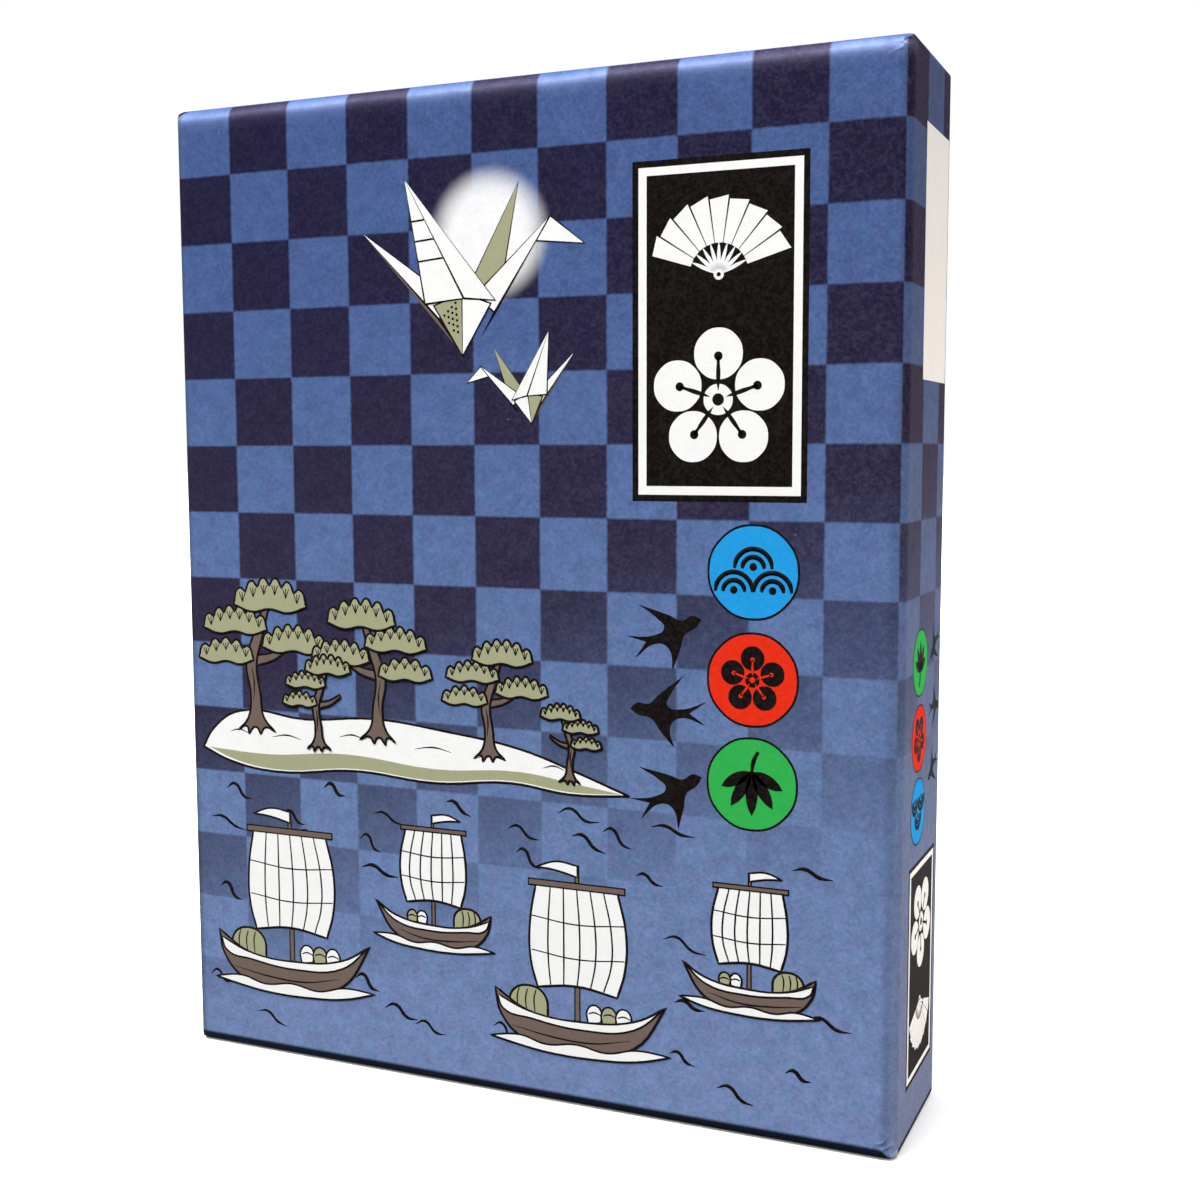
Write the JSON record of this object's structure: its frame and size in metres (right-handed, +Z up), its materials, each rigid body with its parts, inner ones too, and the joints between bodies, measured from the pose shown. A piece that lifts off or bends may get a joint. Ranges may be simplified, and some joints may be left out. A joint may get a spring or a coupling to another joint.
{
  "type": "karuta card deck",
  "caption": "Upright paper-wrapped board box with a full-depth lift-off lid in a blue check print, over a tray that holds stacks of thick round-cornered picture and reading cards.",
  "frame": {"origin": "on the floor under the middle of the standing box, midway across and midway through it", "axes": "+Z up along the box's height, -Y out of the lid's printed face, +X to the right seen from that face"},
  "size_m": [0.1298, 0.029, 0.1679],
  "materials": {
    "lid_print": "printed, fine fibre, satin",
    "tray_paper": "plain dyed, fine fibre, matt",
    "greyboard": "bare grey board",
    "liner_paper": "uncoated white",
    "corner_tape": "kraft",
    "picture_card": "printed, satin",
    "reading_card": "printed, satin"
  },
  "bodies": {
    "tray": {"tray_board": "greyboard", "tray_wrap": "tray_paper", "tray_liner": "liner_paper", "tray_stay_upper_left": "corner_tape", "tray_stay_upper_right": "corner_tape", "tray_stay_lower_left": "corner_tape", "tray_stay_lower_right": "corner_tape"},
    "lid": {"lid_board": "greyboard", "lid_wrap": "lid_print", "lid_liner": "liner_paper", "lid_stay_upper_left": "corner_tape", "lid_stay_upper_right": "corner_tape", "lid_stay_lower_left": "corner_tape", "lid_stay_lower_right": "corner_tape"},
    "picture_card_upper_01": {"picture_card_upper_01": "picture_card"},
    "picture_card_upper_02": {"picture_card_upper_02": "picture_card"},
    "picture_card_upper_03": {"picture_card_upper_03": "picture_card"},
    "picture_card_upper_04": {"picture_card_upper_04": "picture_card"},
    "picture_card_upper_05": {"picture_card_upper_05": "picture_card"},
    "picture_card_upper_06": {"picture_card_upper_06": "picture_card"},
    "picture_card_upper_07": {"picture_card_upper_07": "picture_card"},
    "picture_card_upper_08": {"picture_card_upper_08": "picture_card"},
    "picture_card_upper_09": {"picture_card_upper_09": "picture_card"},
    "picture_card_upper_10": {"picture_card_upper_10": "picture_card"},
    "picture_pack_upper": {"picture_pack_upper": "picture_card"},
    "picture_card_lower_01": {"picture_card_lower_01": "picture_card"},
    "picture_card_lower_02": {"picture_card_lower_02": "picture_card"},
    "picture_card_lower_03": {"picture_card_lower_03": "picture_card"},
    "picture_card_lower_04": {"picture_card_lower_04": "picture_card"},
    "picture_card_lower_05": {"picture_card_lower_05": "picture_card"},
    "picture_card_lower_06": {"picture_card_lower_06": "picture_card"},
    "picture_card_lower_07": {"picture_card_lower_07": "picture_card"},
    "picture_card_lower_08": {"picture_card_lower_08": "picture_card"},
    "picture_card_lower_09": {"picture_card_lower_09": "picture_card"},
    "picture_card_lower_10": {"picture_card_lower_10": "picture_card"},
    "picture_pack_lower": {"picture_pack_lower": "picture_card"},
    "reading_card_upper_01": {"reading_card_upper_01": "reading_card"},
    "reading_card_upper_02": {"reading_card_upper_02": "reading_card"},
    "reading_card_upper_03": {"reading_card_upper_03": "reading_card"},
    "reading_card_upper_04": {"reading_card_upper_04": "reading_card"},
    "reading_card_upper_05": {"reading_card_upper_05": "reading_card"},
    "reading_card_upper_06": {"reading_card_upper_06": "reading_card"},
    "reading_card_upper_07": {"reading_card_upper_07": "reading_card"},
    "reading_card_upper_08": {"reading_card_upper_08": "reading_card"},
    "reading_card_upper_09": {"reading_card_upper_09": "reading_card"},
    "reading_card_upper_10": {"reading_card_upper_10": "reading_card"},
    "reading_pack_upper": {"reading_pack_upper": "reading_card"},
    "reading_card_lower_01": {"reading_card_lower_01": "reading_card"},
    "reading_card_lower_02": {"reading_card_lower_02": "reading_card"},
    "reading_card_lower_03": {"reading_card_lower_03": "reading_card"},
    "reading_card_lower_04": {"reading_card_lower_04": "reading_card"},
    "reading_card_lower_05": {"reading_card_lower_05": "reading_card"},
    "reading_card_lower_06": {"reading_card_lower_06": "reading_card"},
    "reading_card_lower_07": {"reading_card_lower_07": "reading_card"},
    "reading_card_lower_08": {"reading_card_lower_08": "reading_card"},
    "reading_card_lower_09": {"reading_card_lower_09": "reading_card"},
    "reading_card_lower_10": {"reading_card_lower_10": "reading_card"},
    "reading_pack_lower": {"reading_pack_lower": "reading_card"}
  },
  "joints": [
    {"name": "lid_lift", "type": "slide", "parent": "tray", "child": "lid", "axis": [0, -1, 0], "range_m": [0, 0.22]},
    {"name": "picture_card_upper_01_lift", "type": "slide", "parent": "tray", "child": "picture_card_upper_01", "axis": [0, -1, 0], "range_m": [0, 0.0304]},
    {"name": "picture_card_upper_02_lift", "type": "slide", "parent": "tray", "child": "picture_card_upper_02", "axis": [0, -1, 0], "range_m": [0, 0.0279]},
    {"name": "picture_card_upper_03_lift", "type": "slide", "parent": "tray", "child": "picture_card_upper_03", "axis": [0, -1, 0], "range_m": [0, 0.0254]},
    {"name": "picture_card_upper_04_lift", "type": "slide", "parent": "tray", "child": "picture_card_upper_04", "axis": [0, -1, 0], "range_m": [0, 0.023]},
    {"name": "picture_card_upper_05_lift", "type": "slide", "parent": "tray", "child": "picture_card_upper_05", "axis": [0, -1, 0], "range_m": [0, 0.0205]},
    {"name": "picture_card_upper_06_lift", "type": "slide", "parent": "tray", "child": "picture_card_upper_06", "axis": [0, -1, 0], "range_m": [0, 0.018]},
    {"name": "picture_card_upper_07_lift", "type": "slide", "parent": "tray", "child": "picture_card_upper_07", "axis": [0, -1, 0], "range_m": [0, 0.0155]},
    {"name": "picture_card_upper_08_lift", "type": "slide", "parent": "tray", "child": "picture_card_upper_08", "axis": [0, -1, 0], "range_m": [0, 0.013]},
    {"name": "picture_card_upper_09_lift", "type": "slide", "parent": "tray", "child": "picture_card_upper_09", "axis": [0, -1, 0], "range_m": [0, 0.0105]},
    {"name": "picture_card_upper_10_lift", "type": "slide", "parent": "tray", "child": "picture_card_upper_10", "axis": [0, -1, 0], "range_m": [0, 0.008]},
    {"name": "picture_pack_upper_lift", "type": "slide", "parent": "tray", "child": "picture_pack_upper", "axis": [0, -1, 0], "range_m": [0, 0.0056]},
    {"name": "picture_card_lower_01_lift", "type": "slide", "parent": "tray", "child": "picture_card_lower_01", "axis": [0, -1, 0], "range_m": [0, 0.0304]},
    {"name": "picture_card_lower_02_lift", "type": "slide", "parent": "tray", "child": "picture_card_lower_02", "axis": [0, -1, 0], "range_m": [0, 0.0279]},
    {"name": "picture_card_lower_03_lift", "type": "slide", "parent": "tray", "child": "picture_card_lower_03", "axis": [0, -1, 0], "range_m": [0, 0.0254]},
    {"name": "picture_card_lower_04_lift", "type": "slide", "parent": "tray", "child": "picture_card_lower_04", "axis": [0, -1, 0], "range_m": [0, 0.023]},
    {"name": "picture_card_lower_05_lift", "type": "slide", "parent": "tray", "child": "picture_card_lower_05", "axis": [0, -1, 0], "range_m": [0, 0.0205]},
    {"name": "picture_card_lower_06_lift", "type": "slide", "parent": "tray", "child": "picture_card_lower_06", "axis": [0, -1, 0], "range_m": [0, 0.018]},
    {"name": "picture_card_lower_07_lift", "type": "slide", "parent": "tray", "child": "picture_card_lower_07", "axis": [0, -1, 0], "range_m": [0, 0.0155]},
    {"name": "picture_card_lower_08_lift", "type": "slide", "parent": "tray", "child": "picture_card_lower_08", "axis": [0, -1, 0], "range_m": [0, 0.013]},
    {"name": "picture_card_lower_09_lift", "type": "slide", "parent": "tray", "child": "picture_card_lower_09", "axis": [0, -1, 0], "range_m": [0, 0.0105]},
    {"name": "picture_card_lower_10_lift", "type": "slide", "parent": "tray", "child": "picture_card_lower_10", "axis": [0, -1, 0], "range_m": [0, 0.008]},
    {"name": "picture_pack_lower_lift", "type": "slide", "parent": "tray", "child": "picture_pack_lower", "axis": [0, -1, 0], "range_m": [0, 0.0056]},
    {"name": "reading_card_upper_01_lift", "type": "slide", "parent": "tray", "child": "reading_card_upper_01", "axis": [0, -1, 0], "range_m": [0, 0.0304]},
    {"name": "reading_card_upper_02_lift", "type": "slide", "parent": "tray", "child": "reading_card_upper_02", "axis": [0, -1, 0], "range_m": [0, 0.0279]},
    {"name": "reading_card_upper_03_lift", "type": "slide", "parent": "tray", "child": "reading_card_upper_03", "axis": [0, -1, 0], "range_m": [0, 0.0254]},
    {"name": "reading_card_upper_04_lift", "type": "slide", "parent": "tray", "child": "reading_card_upper_04", "axis": [0, -1, 0], "range_m": [0, 0.023]},
    {"name": "reading_card_upper_05_lift", "type": "slide", "parent": "tray", "child": "reading_card_upper_05", "axis": [0, -1, 0], "range_m": [0, 0.0205]},
    {"name": "reading_card_upper_06_lift", "type": "slide", "parent": "tray", "child": "reading_card_upper_06", "axis": [0, -1, 0], "range_m": [0, 0.018]},
    {"name": "reading_card_upper_07_lift", "type": "slide", "parent": "tray", "child": "reading_card_upper_07", "axis": [0, -1, 0], "range_m": [0, 0.0155]},
    {"name": "reading_card_upper_08_lift", "type": "slide", "parent": "tray", "child": "reading_card_upper_08", "axis": [0, -1, 0], "range_m": [0, 0.013]},
    {"name": "reading_card_upper_09_lift", "type": "slide", "parent": "tray", "child": "reading_card_upper_09", "axis": [0, -1, 0], "range_m": [0, 0.0105]},
    {"name": "reading_card_upper_10_lift", "type": "slide", "parent": "tray", "child": "reading_card_upper_10", "axis": [0, -1, 0], "range_m": [0, 0.008]},
    {"name": "reading_pack_upper_lift", "type": "slide", "parent": "tray", "child": "reading_pack_upper", "axis": [0, -1, 0], "range_m": [0, 0.0056]},
    {"name": "reading_card_lower_01_lift", "type": "slide", "parent": "tray", "child": "reading_card_lower_01", "axis": [0, -1, 0], "range_m": [0, 0.0304]},
    {"name": "reading_card_lower_02_lift", "type": "slide", "parent": "tray", "child": "reading_card_lower_02", "axis": [0, -1, 0], "range_m": [0, 0.0279]},
    {"name": "reading_card_lower_03_lift", "type": "slide", "parent": "tray", "child": "reading_card_lower_03", "axis": [0, -1, 0], "range_m": [0, 0.0254]},
    {"name": "reading_card_lower_04_lift", "type": "slide", "parent": "tray", "child": "reading_card_lower_04", "axis": [0, -1, 0], "range_m": [0, 0.023]},
    {"name": "reading_card_lower_05_lift", "type": "slide", "parent": "tray", "child": "reading_card_lower_05", "axis": [0, -1, 0], "range_m": [0, 0.0205]},
    {"name": "reading_card_lower_06_lift", "type": "slide", "parent": "tray", "child": "reading_card_lower_06", "axis": [0, -1, 0], "range_m": [0, 0.018]},
    {"name": "reading_card_lower_07_lift", "type": "slide", "parent": "tray", "child": "reading_card_lower_07", "axis": [0, -1, 0], "range_m": [0, 0.0155]},
    {"name": "reading_card_lower_08_lift", "type": "slide", "parent": "tray", "child": "reading_card_lower_08", "axis": [0, -1, 0], "range_m": [0, 0.013]},
    {"name": "reading_card_lower_09_lift", "type": "slide", "parent": "tray", "child": "reading_card_lower_09", "axis": [0, -1, 0], "range_m": [0, 0.0105]},
    {"name": "reading_card_lower_10_lift", "type": "slide", "parent": "tray", "child": "reading_card_lower_10", "axis": [0, -1, 0], "range_m": [0, 0.008]},
    {"name": "reading_pack_lower_lift", "type": "slide", "parent": "tray", "child": "reading_pack_lower", "axis": [0, -1, 0], "range_m": [0, 0.0056]}
  ],
  "couplings": [
    {"joint": "picture_card_upper_01_lift", "follows": "lid_lift", "ratio": 0.136},
    {"joint": "picture_card_upper_02_lift", "follows": "lid_lift", "ratio": 0.1247},
    {"joint": "picture_card_upper_03_lift", "follows": "lid_lift", "ratio": 0.1134},
    {"joint": "picture_card_upper_04_lift", "follows": "lid_lift", "ratio": 0.1021},
    {"joint": "picture_card_upper_05_lift", "follows": "lid_lift", "ratio": 0.0908},
    {"joint": "picture_card_upper_06_lift", "follows": "lid_lift", "ratio": 0.0795},
    {"joint": "picture_card_upper_07_lift", "follows": "lid_lift", "ratio": 0.0682},
    {"joint": "picture_card_upper_08_lift", "follows": "lid_lift", "ratio": 0.0569},
    {"joint": "picture_card_upper_09_lift", "follows": "lid_lift", "ratio": 0.0456},
    {"joint": "picture_card_upper_10_lift", "follows": "lid_lift", "ratio": 0.0343},
    {"joint": "picture_pack_upper_lift", "follows": "lid_lift", "ratio": 0.023},
    {"joint": "picture_card_lower_01_lift", "follows": "lid_lift", "ratio": 0.136},
    {"joint": "picture_card_lower_02_lift", "follows": "lid_lift", "ratio": 0.1247},
    {"joint": "picture_card_lower_03_lift", "follows": "lid_lift", "ratio": 0.1134},
    {"joint": "picture_card_lower_04_lift", "follows": "lid_lift", "ratio": 0.1021},
    {"joint": "picture_card_lower_05_lift", "follows": "lid_lift", "ratio": 0.0908},
    {"joint": "picture_card_lower_06_lift", "follows": "lid_lift", "ratio": 0.0795},
    {"joint": "picture_card_lower_07_lift", "follows": "lid_lift", "ratio": 0.0682},
    {"joint": "picture_card_lower_08_lift", "follows": "lid_lift", "ratio": 0.0569},
    {"joint": "picture_card_lower_09_lift", "follows": "lid_lift", "ratio": 0.0456},
    {"joint": "picture_card_lower_10_lift", "follows": "lid_lift", "ratio": 0.0343},
    {"joint": "picture_pack_lower_lift", "follows": "lid_lift", "ratio": 0.023},
    {"joint": "reading_card_upper_01_lift", "follows": "lid_lift", "ratio": 0.136},
    {"joint": "reading_card_upper_02_lift", "follows": "lid_lift", "ratio": 0.1247},
    {"joint": "reading_card_upper_03_lift", "follows": "lid_lift", "ratio": 0.1134},
    {"joint": "reading_card_upper_04_lift", "follows": "lid_lift", "ratio": 0.1021},
    {"joint": "reading_card_upper_05_lift", "follows": "lid_lift", "ratio": 0.0908},
    {"joint": "reading_card_upper_06_lift", "follows": "lid_lift", "ratio": 0.0795},
    {"joint": "reading_card_upper_07_lift", "follows": "lid_lift", "ratio": 0.0682},
    {"joint": "reading_card_upper_08_lift", "follows": "lid_lift", "ratio": 0.0569},
    {"joint": "reading_card_upper_09_lift", "follows": "lid_lift", "ratio": 0.0456},
    {"joint": "reading_card_upper_10_lift", "follows": "lid_lift", "ratio": 0.0343},
    {"joint": "reading_pack_upper_lift", "follows": "lid_lift", "ratio": 0.023},
    {"joint": "reading_card_lower_01_lift", "follows": "lid_lift", "ratio": 0.136},
    {"joint": "reading_card_lower_02_lift", "follows": "lid_lift", "ratio": 0.1247},
    {"joint": "reading_card_lower_03_lift", "follows": "lid_lift", "ratio": 0.1134},
    {"joint": "reading_card_lower_04_lift", "follows": "lid_lift", "ratio": 0.1021},
    {"joint": "reading_card_lower_05_lift", "follows": "lid_lift", "ratio": 0.0908},
    {"joint": "reading_card_lower_06_lift", "follows": "lid_lift", "ratio": 0.0795},
    {"joint": "reading_card_lower_07_lift", "follows": "lid_lift", "ratio": 0.0682},
    {"joint": "reading_card_lower_08_lift", "follows": "lid_lift", "ratio": 0.0569},
    {"joint": "reading_card_lower_09_lift", "follows": "lid_lift", "ratio": 0.0456},
    {"joint": "reading_card_lower_10_lift", "follows": "lid_lift", "ratio": 0.0343},
    {"joint": "reading_pack_lower_lift", "follows": "lid_lift", "ratio": 0.023}
  ]
}
